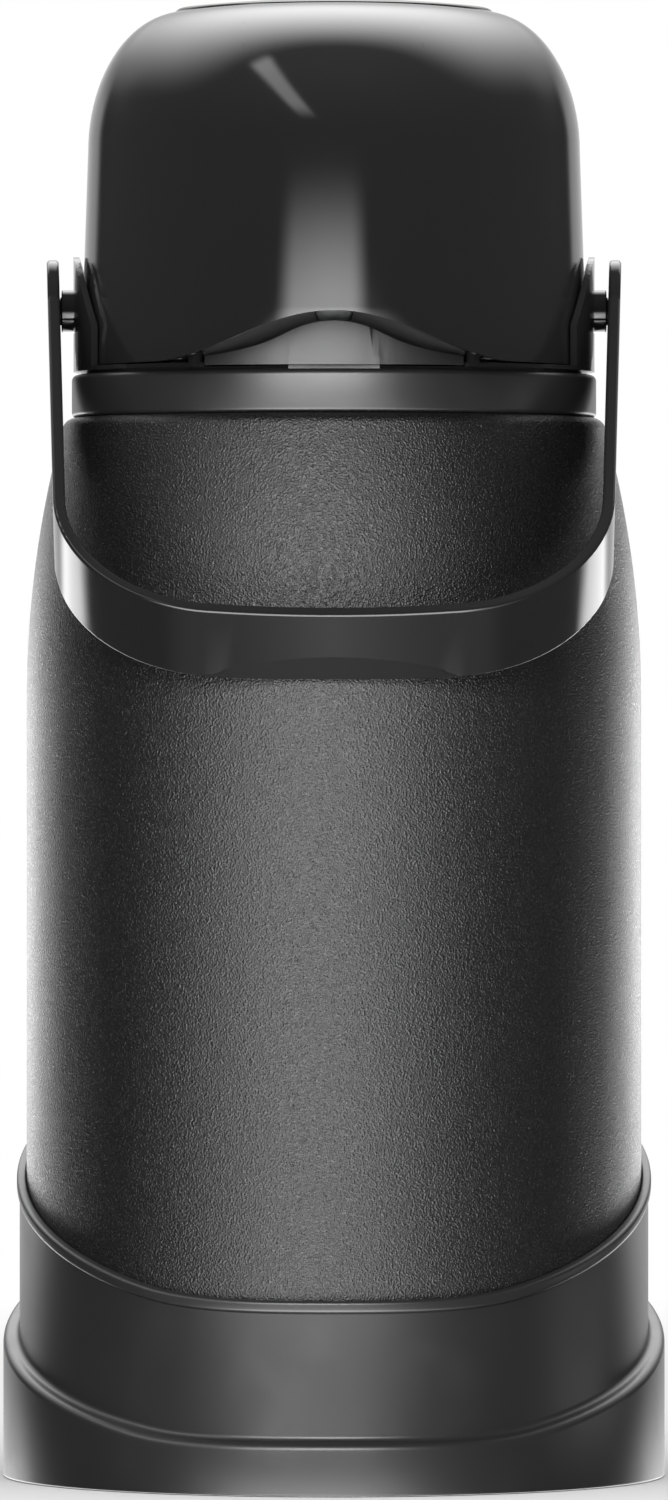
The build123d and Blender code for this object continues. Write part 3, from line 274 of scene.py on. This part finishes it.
def silveredGlass(name):
    look = glass
    finish = Finish(name)
    wave = finish.noise(*look["wave"])
    film = finish.noise(*look["film"])
    return finish.surface(
        Base_Color=finish.mix(film, look["dark"], look["pale"]),
        Metallic=look["metallic"],
        Roughness=film * look["filmRough"] + look["roughness"],
        Coat_Weight=look["coat"],
        Normal=finish.bump(wave, look["depth"]),
    )


finishes = {
    "gloss_black": glossPlastic("glossBlack", tone=0.02, sheen=0.08),
    "satin_black": satinPlastic("satinBlack", tone=0.012, roughness=0.3),
    "powder_coat": powderCoat("powderCoat", tone=0.005),
    "inner_plastic": satinPlastic("innerPlastic", tone=0.045, roughness=0.42),
    "clear_plastic": milkyPlastic("milkyPlastic"),
    "rubber": softRubber("softRubber", tone=0.09),
    "steel": drawnSteel("drawnSteel"),
    "flask_glass": silveredGlass("silveredGlass"),
}
print("finishes:", len(finishes))


# Making pieces

nodeSlot = {row["node"]: row["material_slot"] for row in frame["record"]["subparts"]}
nodeBody = {node: body for body, nodes in frame["record"]["behaviour"]["bodies"].items() for node in nodes}
turnSteps = 224  # round every large turned piece
near = 0.01  # points this close to a plane or a circle lie on it


def smoothPiece(name, bm, node, sharpAngle):
    bmesh.ops.scale(bm, vec=(mm, mm, mm), verts=bm.verts)
    mesh = bpy.data.meshes.new(name)
    bm.to_mesh(mesh)
    bm.free()
    mesh.polygons.foreach_set("use_smooth", [True] * len(mesh.polygons))
    mesh.set_sharp_from_angle(angle=radians(sharpAngle))
    mesh.materials.append(finishes[nodeSlot[node]])
    piece = bpy.data.objects.new(name, mesh)
    scene.collection.objects.link(piece)
    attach(piece, nodeBody[node])
    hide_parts(node)
    return piece


def addBevel(piece, width, segments, angle):
    bevel = piece.modifiers.new("edges", "BEVEL")
    bevel.width = width * mm
    bevel.segments = segments
    bevel.limit_method = "ANGLE"
    bevel.angle_limit = radians(angle)
    bevel.harden_normals = False


def spun(profile, steps, closed=True):  # a profile of radius and height, turned about Z
    bm = bmesh.new()
    verts = [bm.verts.new((radius, 0, height)) for radius, height in profile]
    pairs = list(zip(verts, verts[1:]))
    if closed:
        pairs.append((verts[-1], verts[0]))
    edges = [bm.edges.new(pair) for pair in pairs]
    bmesh.ops.spin(
        bm, geom=verts + edges, cent=(0, 0, 0), axis=(0, 0, 1), dvec=(0, 0, 0), angle=2 * pi, steps=steps,
        use_merge=True, use_duplicate=False,
    )
    bmesh.ops.remove_doubles(bm, verts=bm.verts, dist=1e-4)
    bmesh.ops.recalc_face_normals(bm, faces=bm.faces)
    return bm


def bevelRims(bm, spots, segments):  # rounds the circles at each radius and height by a width
    for radius, height, width in spots:
        ring = [
            edge for edge in bm.edges
            if all(abs(v.co.xy.length - radius) < near and abs(v.co.z - height) < near for v in edge.verts)
        ]
        bmesh.ops.bevel(
            bm, geom=ring, offset=width, offset_type="OFFSET", segments=segments, profile=0.5,
            affect="EDGES", material=-1, clamp_overlap=True,
        )


# Base cup: two tiers spun flat, then tilted so that both climb from front to back

baseCup = {
    "skirtRadius": 81.2, "tierRadius": 77.2, "sleeveRadius": 75.6, "lip": 0.7, "lipHeight": 2.4,
    "stepFront": 12.7, "stepBack": 57.7, "rimFront": 46.4, "rimBack": 102.4,
    "slopeRun": 70.0, "slopeBend": 45.0, "wall": 2.4, "floorBottom": 4.0, "floorTop": 7.0,
    "socketRadius": 39.0, "socketBore": 36.0, "socketTop": 15.0,
    "shoulder": 1.8, "root": 1.5, "foot": 0.5, "rimOuter": 0.8, "rimInner": 0.5, "lipUnder": 0.4,
    "rounding": 5, "tiltedFrom": 6.9, "tierFrom": 25.0, "tiltedIn": 1.2,
}


def slopeHeight(y, front, back, run, bend):
    turn = atan((back - front) / (2 * run))
    reach = bend * tan(turn / 2)
    if y < -run - reach:
        return front
    if y > run + reach:
        return back
    if y < -run + reach * cos(turn):
        return front + bend - sqrt(bend**2 - (y + run + reach) ** 2)
    if y > run - reach * cos(turn):
        return back - bend + sqrt(bend**2 - (run + reach - y) ** 2)
    return (front + back) / 2 + (back - front) / (2 * run) * y


def makeBaseCup():
    size = baseCup
    step, rim = size["stepFront"], size["rimFront"]
    tier, skirt, inside = size["tierRadius"], size["skirtRadius"], size["sleeveRadius"]
    lip = tier + size["lip"]
    lipFoot = rim - size["lipHeight"]
    profile = [
        (skirt - size["wall"], 0.0),
        (skirt, 0.0),
        (skirt, step),
        (tier, step),
        (tier, lipFoot - size["lip"]),
        (lip, lipFoot),
        (lip, rim),
        (inside, rim),
        (inside, size["floorTop"]),
        (size["socketRadius"], size["floorTop"]),
        (size["socketRadius"], size["socketTop"]),
        (size["socketBore"], size["socketTop"]),
        (size["socketBore"], size["floorBottom"]),
        (tier - size["wall"], size["floorBottom"]),
        (tier, step - size["wall"]),
        (skirt - size["wall"], step - size["wall"]),
    ]
    bm = spun(profile, turnSteps)
    bevelRims(bm, [
        (skirt, step, size["shoulder"]), (tier, step, size["root"]), (skirt, 0.0, size["foot"]),
        (lip, rim, size["rimOuter"]), (inside, rim, size["rimInner"]), (lip, lipFoot, size["lipUnder"]),
    ], size["rounding"])
    slope = (size["slopeRun"], size["slopeBend"])
    for vert in bm.verts:
        x, y, z = vert.co
        if vert.co.xy.length < inside - size["tiltedIn"] or z < size["tiltedFrom"]:
            continue
        if z > size["tierFrom"]:
            vert.co.z += slopeHeight(y, rim, size["rimBack"], *slope) - rim
        else:
            vert.co.z += slopeHeight(y, step, size["stepBack"], *slope) - step
    return smoothPiece("baseCup", bm, "base_cup", 40.0)


makeBaseCup()


# Sleeve: straight below, a long arc above, rolled over into a flange

sleeve = {
    "radius": 75.5, "wall": 0.8, "bottom": 7.0, "straightTop": 190.0, "top": 259.5, "topRadius": 66.0,
    "roll": 2.5, "rounding": 8, "mouth": 57.0, "arcSteps": 24,
}


def makeSleeve():
    size = sleeve
    drop = size["radius"] - size["topRadius"]
    rise = size["top"] - size["straightTop"]
    bend = (drop**2 + rise**2) / (2 * drop)
    lean = atan(rise / (bend - drop))
    outer = [(size["radius"], size["bottom"])]
    for step in range(size["arcSteps"] + 1):
        turn = lean * step / size["arcSteps"]
        outer.append((size["radius"] - bend + bend * cos(turn), size["straightTop"] + bend * sin(turn)))
    inner = [(radius - size["wall"], min(height, size["top"] - size["wall"])) for radius, height in outer]
    flange = [(size["mouth"], size["top"]), (size["mouth"], size["top"] - size["wall"])]
    bm = spun(outer + flange + inner[::-1], turnSteps)
    bevelRims(bm, [(size["topRadius"], size["top"], size["roll"])], size["rounding"])
    return smoothPiece("sleeve", bm, "body_sleeve", 40.0)


makeSleeve()


# Collar ring

collarRing = {
    "radius": 64.4, "bore": 62.3, "bottom": 259.5, "height": 10.5, "flange": 2.0, "flangeRadius": 58.0,
    "topEdge": 1.5, "bottomEdge": 1.2, "boreEdge": 0.3, "rounding": 6,
}


def makeCollarRing():
    size = collarRing
    radius, bore, bottom = size["radius"], size["bore"], size["bottom"]
    top = bottom + size["height"]
    flangeTop = bottom + size["flange"]
    profile = [
        (radius, bottom), (radius, top), (bore, top),
        (bore, flangeTop), (size["flangeRadius"], flangeTop), (size["flangeRadius"], bottom),
    ]
    bm = spun(profile, turnSteps)
    rims = [
        (radius, top, size["topEdge"]), (radius, bottom, size["bottomEdge"]), (bore, top, size["boreEdge"]),
    ]
    bevelRims(bm, rims, size["rounding"])
    return smoothPiece("collarRing", bm, "collar_ring", 50.0)


makeCollarRing()
print("base, sleeve and ring")


# Hood: rows of one outline, drawn in over an elliptical corner to the button's hole

hood = {
    "bottom": 272.0, "radius": 62.2, "cornerZ": 325.0, "top": 359.0, "cornerRadius": 60.4,
    "cornerWidth": 23.0, "topBeak": 44.0, "beakBottom": 86.0, "beakFull": 92.0, "beakAngle": 22.0,
    "wall": 2.2, "hole": 39.5,
    "noseShare": 0.27, "noseWidth": 0.52, "sidePull": 0.36,
    "arch": 283.2, "archHalf": 43.0, "archPower": 0.85, "archBefore": -20.0,
    "notchHalf": 21.5, "notchTop": 284.0, "notchBehind": 20.0, "edge": 0.7,
    "columns": 240, "wallRows": 10, "cornerRows": 22, "cornerTurn": 84.0, "middleZ": 300.0,
}


def bezier(spots, share):
    rest = 1 - share
    first, second, third, fourth = (Vector(spot) for spot in spots)
    early = first * rest**3 + second * (3 * rest**2 * share)
    return early + third * (3 * rest * share**2) + fourth * share**3


def hoodOutline(share, width, beak):  # a place on the outline, from the nose round by +X and back to the nose
    turn = radians(hood["beakAngle"])
    noseShare = hood["noseShare"]
    if share > 0.5:
        spot = hoodOutline(1 - share, width, beak)
        return Vector((-spot.x, spot.y))
    if share < noseShare:
        side = Vector((width * cos(turn), -width * sin(turn)))
        pull = hood["sidePull"] * (beak + side.y)
        tangent = Vector((side.x - pull * sin(turn), side.y - pull * cos(turn)))
        return bezier([(0, -beak), (hood["noseWidth"] * width, -beak), tangent, side], share / noseShare)
    angle = -turn + (share - noseShare) / (0.5 - noseShare) * (pi / 2 + turn)
    return Vector((width * cos(angle), width * sin(angle)))


def archHeight(x):
    share = min(abs(x) / hood["archHalf"], 1.0)
    rise = (0.5 + 0.5 * cos(pi * share)) ** hood["archPower"]
    return hood["bottom"] + (hood["arch"] - hood["bottom"]) * rise


def wallSize(height):
    share = (height - hood["bottom"]) / (hood["cornerZ"] - hood["bottom"])
    width = hood["radius"] + share * (hood["cornerRadius"] - hood["radius"])
    return width, hood["beakFull"] - (hood["beakFull"] - hood["beakBottom"]) * (1 - share) ** 2


def wallSpot(share, climb):  # climb runs from 0 at the bottom edge to 1 where the corner starts
    edge = hoodOutline(share, *wallSize(hood["bottom"]))
    low = archHeight(edge.x) if edge.y < hood["archBefore"] else hood["bottom"]
    height = low + (hood["cornerZ"] - low) * climb
    return (*hoodOutline(share, *wallSize(height)), height)


def cornerSpot(share, turn):
    height = hood["cornerZ"] + (hood["top"] - hood["cornerZ"]) * sin(turn)
    width = hood["cornerRadius"] - hood["cornerWidth"] + hood["cornerWidth"] * cos(turn)
    beak = hood["topBeak"] + (hood["beakFull"] - hood["topBeak"]) * cos(turn)
    return (*hoodOutline(share, width, beak), height)


def holeSpot(share):
    spot = hoodOutline(share, hood["cornerRadius"] - hood["cornerWidth"], hood["topBeak"])
    return (*(spot.normalized() * hood["hole"]), hood["top"])


def addRow(bm, spots, previous):  # a loop of points, bridged to the loop before it
    made = bmesh.ops.create_circle(bm, segments=len(spots), radius=1.0)["verts"]
    for vert, spot in zip(made, spots):
        vert.co = spot
    row = [edge for edge in bm.edges if edge.verts[0] in made and edge.verts[1] in made]
    if previous:
        bmesh.ops.bridge_loops(bm, edges=previous + row)
    return row


def cutAt(bm, spot, normal):
    geometry = bm.verts[:] + bm.edges[:] + bm.faces[:]
    bmesh.ops.bisect_plane(bm, geom=geometry, plane_co=spot, plane_no=normal, dist=near)


def inNotch(face):
    middle = face.calc_center_median()
    behind = middle.y > hood["notchBehind"] and abs(middle.x) < hood["notchHalf"]
    return behind and middle.z < hood["notchTop"]


def makeHood():
    size = hood
    shares = [column / size["columns"] for column in range(size["columns"])]
    rows = [[wallSpot(share, row / size["wallRows"]) for share in shares] for row in range(size["wallRows"])]
    for row in range(size["cornerRows"] + 1):
        turn = radians(size["cornerTurn"]) * row / size["cornerRows"]
        rows.append([cornerSpot(share, turn) for share in shares])
    rows.append([holeSpot(share) for share in shares])
    bm = bmesh.new()
    previous = None
    for spots in rows:
        previous = addRow(bm, spots, previous)
    # the notch round the hinge
    cutAt(bm, (size["notchHalf"], 0, 0), (1, 0, 0))
    cutAt(bm, (-size["notchHalf"], 0, 0), (-1, 0, 0))
    cutAt(bm, (0, 0, size["notchTop"]), (0, 0, 1))
    bmesh.ops.delete(bm, geom=[face for face in bm.faces if inNotch(face)], context="FACES")
    bmesh.ops.recalc_face_normals(bm, faces=bm.faces)
    middle = Vector((0, 0, size["middleZ"]))
    outward = sum(face.normal.dot(face.calc_center_median() - middle) for face in bm.faces)
    if outward < 0:
        bmesh.ops.reverse_faces(bm, faces=bm.faces)
    piece = smoothPiece("hood", bm, "hood_shell", 40.0)
    wall = piece.modifiers.new("wall", "SOLIDIFY")
    wall.thickness = size["wall"] * mm
    wall.offset = -1.0
    wall.use_even_offset = True
    addBevel(piece, size["edge"], 3, 50.0)
    return piece


makeHood()


# Push button: a crowned cap that slides in the hood

button = {
    "radius": 39.0, "top": 362.0, "edge": 359.8, "round": 1.0, "skirtBottom": 336.0, "wall": 1.8, "skin": 3.0,
    "innerRound": 0.6, "rounding": 5, "crownSteps": 16, "turnSteps": 200,
}


def makeButton():
    size = button
    radius, bottom = size["radius"], size["skirtBottom"]
    drop = size["top"] - size["edge"]
    bend = (radius**2 + drop**2) / (2 * drop)
    lean, steps = atan(radius / (bend - drop)), size["crownSteps"]
    turns = [lean * step / steps for step in range(steps + 1)]
    crown = [(bend * sin(turn), size["top"] - bend + bend * cos(turn)) for turn in turns]
    under = size["edge"] - size["skin"]
    inner = radius - size["wall"]
    skirt = [(radius, bottom), (inner, bottom), (inner, under), (0.0, under)]
    bm = spun(crown + skirt, size["turnSteps"], closed=False)
    rims = [(radius, size["edge"], size["round"]), (inner, under, size["innerRound"])]
    bevelRims(bm, rims, size["rounding"])
    return smoothPiece("pushButton", bm, "push_button", 40.0)


makeButton()
print("hood and button")


# The other pieces keep their CAD form: a merged copy with smooth shading, and with some edges eased

easedEdges = {
    "neck_housing": 0.25, "bail_pivots": 0.3, "head_floor": 0.3, "spout_nozzle": 0.3,
    "tube_holder": 0.3, "base_plug": 0.4,
}
copying = {"merge": 0.002, "flatAngle": 0.3, "sharpAngle": 32.0, "scoopAngle": 12.0, "bevelAngle": 45.0}


def smoothCopy(node, width):
    bm = bmesh.new()
    bm.from_mesh(frame["nodes"][node].data)
    bmesh.ops.scale(bm, vec=(1 / mm, 1 / mm, 1 / mm), verts=bm.verts)
    bmesh.ops.remove_doubles(bm, verts=bm.verts, dist=copying["merge"])
    bmesh.ops.dissolve_limit(bm, angle_limit=radians(copying["flatAngle"]), verts=bm.verts, edges=bm.edges)
    words = node.split("_")
    name = words[0] + "".join(word.capitalize() for word in words[1:])
    # the bail's scoop meets its face at a low angle
    sharpAngle = copying["scoopAngle"] if node == "bail_handle" else copying["sharpAngle"]
    piece = smoothPiece(name, bm, node, sharpAngle)
    if width:
        addBevel(piece, width, 2, copying["bevelAngle"])
    if node in ("release_tab", "bail_handle"):
        evened = piece.modifiers.new("normals", "WEIGHTED_NORMAL")
        evened.keep_sharp = True
    return piece


def makeFolding(piece):  # gives the piece a mesh of its own
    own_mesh(piece)


modelled = {"base_cup", "body_sleeve", "collar_ring", "hood_shell", "push_button"}
for node in sorted(set(nodeBody) - modelled):
    piece = smoothCopy(node, easedEdges.get(node, 0.0))
    if node in ("pump_bellows", "return_spring"):
        makeFolding(piece)
print("copies:", len(nodeBody) - len(modelled))


# Floor: the camera sees it turn white away from the object, whose shadow stays on it; lengths are metres

floorSize = {
    "radius": 9.0, "corners": 96, "drop": 0.0002, "colour": 0.86, "patchy": 0.985, "patches": (3.0, 4.0),
    "whiteSpan": (0.25, 0.9),
}


def makeFloor():
    size = floorSize
    bm = bmesh.new()
    bmesh.ops.create_circle(bm, cap_ends=True, segments=size["corners"], radius=size["radius"])
    bmesh.ops.translate(bm, vec=(0, 0, -size["drop"]), verts=bm.verts)
    mesh = bpy.data.meshes.new("floor")
    bm.to_mesh(mesh)
    bm.free()
    finish = Finish("paleFloor")
    far = finish.node("ShaderNodeVectorMath", {"operation": "LENGTH"}, [finish.place()], "Value")
    camera, transmission = finish.rays("Is Camera Ray", "Is Transmission Ray")
    seen = camera + transmission
    share = finish.ramp(far, *size["whiteSpan"]) * seen
    tone = size["colour"]
    colour = finish.mix(finish.noise(*size["patches"]), grey(tone * size["patchy"]), grey(tone))
    lit = finish.node("ShaderNodeBsdfDiffuse", {}, {"Color": colour})
    glow = finish.node("ShaderNodeEmission", {}, {"Color": grey(1.0), "Strength": 1.0})
    both = finish.node("ShaderNodeMixShader", {}, [share, lit, glow])
    finish.node("ShaderNodeOutputMaterial", {}, {"Surface": both})
    mesh.materials.append(finish.material)
    floor = bpy.data.objects.new("floor", mesh)
    scene.collection.objects.link(floor)
    floor.visible_glossy = False


# World: white to the camera, even light on matt surfaces, and to shiny ones a room told by direction.
# Turns are degrees round Z from the front; the other spans are parts of a direction of length 1.

room = {
    "ambient": 0.57, "dark": 0.045,
    "front": 6.0, "frontLeft": -41.0, "frontRight": 22.0, "frontEdge": 9.0, "frontDepth": 0.33,
    "frontFoot": (-0.92, -0.7),
    "back": 0.75, "backAside": 1.1, "backDip": (0.03, -0.02), "backDipLight": 0.25, "backSpan": (0.06, 0.25),
    "backTop": (0.12, 0.35),
    "above": 4.5, "aboveSpan": (0.15, 0.62),
    "corners": 3.2, "cornerTurn": (130.0, 138.0), "cornerDip": (-0.05, -0.14),
    "leaf": 3.0, "leafAcross": 0.758, "leafAway": 0.14, "leafUp": 0.635, "leafShift": 0.063,
    "leafWidth": (0.05, 0.14), "leafRise": (0.3, 0.6), "leafBack": (0.1, 0.25),
    "below": 0.24, "belowSpan": (-0.85, -0.97),
}


def makeWorld():
    world = bpy.data.worlds.new("studio")
    scene.world = world
    world.use_nodes = True
    finish = Finish(None, world)
    direction = finish.node("ShaderNodeTexCoord", {}, {}, "Generated")
    parts = finish.tree.nodes.new("ShaderNodeSeparateXYZ")
    finish.tree.links.new(direction.socket, parts.inputs[0])
    across, away, up = (Wire(finish, parts.outputs[axis]) for axis in "XYZ")
    turn = across.maths("ARCTAN2", across, 0 - away) * (180 / pi)
    left, right, edge = room["frontLeft"], room["frontRight"], room["frontEdge"]
    window = finish.ramp(turn, left - edge, left + edge)
    window = window * (1 - finish.ramp(turn, right - edge, right + edge))
    low = finish.ramp(0 - up, 0.0, room["frontDepth"]) * finish.ramp(up, *room["frontFoot"])
    aside = abs(across)
    wall = away - aside * room["backAside"] + finish.ramp(up, *room["backDip"]) * room["backDipLight"]
    corners = finish.ramp(abs(turn), *room["cornerTurn"]) * finish.ramp(up, *room["cornerDip"])
    slant = across * room["leafAcross"] - away * room["leafAway"] + up * room["leafUp"] - room["leafShift"]
    leaf = 1 - finish.ramp(abs(slant), *room["leafWidth"])
    leaf = leaf * finish.ramp(up, *room["leafRise"]) * (1 - finish.ramp(away, *room["leafBack"]))
    mirrored = (
        window * low * room["front"]
        + finish.ramp(wall, *room["backSpan"]) * room["back"] * (1 - finish.ramp(up, *room["backTop"]))
        + finish.ramp(away * up, *room["aboveSpan"]) * room["above"]
        + corners * room["corners"]
        + leaf * room["leaf"]
        + finish.ramp(up, *room["belowSpan"]) * room["below"]
        + room["dark"]
    )
    camera, transmission, glossy = finish.rays("Is Camera Ray", "Is Transmission Ray", "Is Glossy Ray")
    seen = camera + transmission
    strength = seen + glossy * mirrored + (1 - (seen + glossy)) * room["ambient"]
    glow = finish.node("ShaderNodeBackground", {}, {"Color": grey(1.0), "Strength": strength})
    finish.node("ShaderNodeOutputWorld", {}, {"Surface": glow})


# Lamps: one above for every piece, and four that only some outer pieces answer to; metres and watts

topBox = {"x": 0.0, "y": -0.3, "z": 1.6, "aimZ": 0.2, "width": 1.2, "height": 1.0, "power": 16.0}
strip = {"x": -0.17, "y": -1.15, "z": 0.6, "width": 1.0, "height": 0.56, "power": 20.0}
rimLamp = {"x": 0.62, "y": 1.33, "z": 0.14, "width": 0.45, "height": 0.26, "power": 1.6}
fill = {"x": 1.25, "y": 0.14, "z": 0.12, "width": 0.6, "height": 0.26, "power": 0.45}


def softbox(name, size, x, aim):
    data = bpy.data.lights.new(name, "AREA")
    data.shape = "RECTANGLE"
    data.size = size["width"]
    data.size_y = size["height"]
    data.energy = size["power"]
    lamp = bpy.data.objects.new(name, data)
    scene.collection.objects.link(lamp)
    lamp.location = (x, size["y"], size["z"])
    lamp.rotation_euler = (Vector(aim) - lamp.location).to_track_quat("-Z", "Y").to_euler()
    return lamp


def makeTopLight():
    lamp = softbox("topBox", topBox, topBox["x"], (0, 0, topBox["aimZ"]))
    lamp.visible_glossy = False


def makeSideLights():
    outer = bpy.data.collections.new("mattPieces")
    painted = bpy.data.collections.new("paintedPieces")
    for name in ("sleeve", "baseCup", "collarRing", "releaseTab"):
        outer.objects.link(bpy.data.objects[name])
    painted.objects.link(bpy.data.objects["sleeve"])
    places = (
        ("frontStrip", strip, strip["x"], (strip["x"], 0, strip["z"]), outer),
        ("leftRim", rimLamp, -rimLamp["x"], (0, 0, rimLamp["z"]), painted),
        ("rightRim", rimLamp, rimLamp["x"], (0, 0, rimLamp["z"]), painted),
        ("rightFill", fill, fill["x"], (0, 0, fill["z"]), outer),
    )
    for name, size, x, aim, pieces in places:
        lamp = softbox(name, size, x, aim)
        lamp.visible_camera = False
        lamp.light_linking.receiver_collection = pieces


# Camera, at the photo's distance and height in metres; focus, length and horizon are the photo's pixels

photo = {"distance": 2.9, "height": 0.191, "focus": 11803.0, "length": 1500, "horizon": 697.0}


def makeCamera():
    data = bpy.data.cameras.new("camera")
    data.sensor_width = 36.0
    data.lens = photo["focus"] / photo["length"] * data.sensor_width
    data.shift_y = (photo["horizon"] - photo["length"] / 2) / photo["length"]
    data.clip_end = 30.0
    camera = bpy.data.objects.new("camera", data)
    camera.location = (0, -photo["distance"], photo["height"])
    camera.rotation_euler = (pi / 2, 0, 0)
    scene.collection.objects.link(camera)
    scene.camera = camera


makeFloor()
makeWorld()
makeTopLight()
makeSideLights()
makeCamera()
print("stage")
